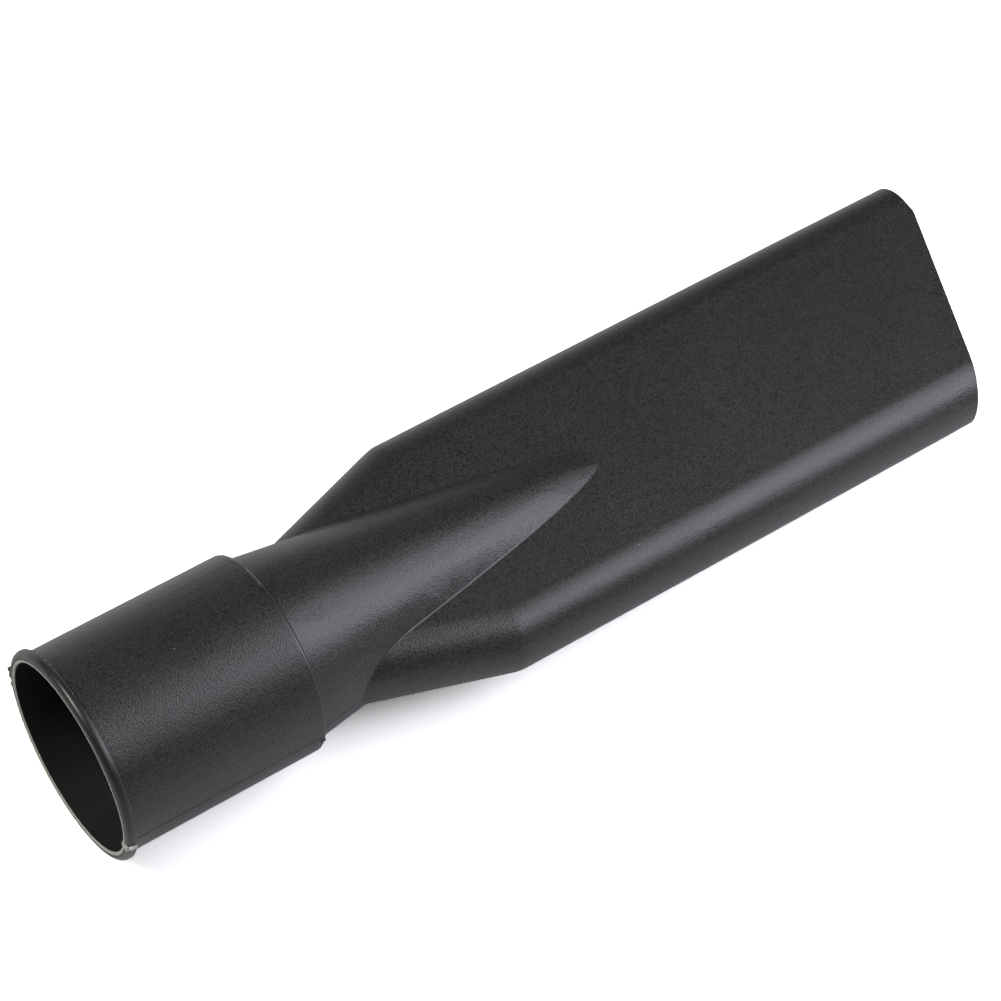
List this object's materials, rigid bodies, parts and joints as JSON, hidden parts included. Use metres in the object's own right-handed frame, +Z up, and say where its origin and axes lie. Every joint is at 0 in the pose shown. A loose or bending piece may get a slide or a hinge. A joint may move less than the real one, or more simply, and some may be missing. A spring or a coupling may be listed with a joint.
{
  "type": "vacuum crevice tool",
  "caption": "Hollow moulded vacuum crevice tool: a round lipped socket steps down to a conical neck that runs out into a wide flat nozzle with a slanted mouth.",
  "frame": {"origin": "middle of the box round the tool, on the ground it lies on", "axes": "+X from the socket to the mouth, +Y across the nozzle towards its longer side, +Z up; the tool lies on the end of its collar and the lower edge of its mouth, so its own axis slopes down to the mouth by 4.3 degrees"},
  "size_m": [0.3184, 0.082, 0.0679],
  "materials": {
    "black_plastic": "fine grained, satin"
  },
  "bodies": {
    "root": {"crevice_tool": "black_plastic"}
  },
  "joints": []
}
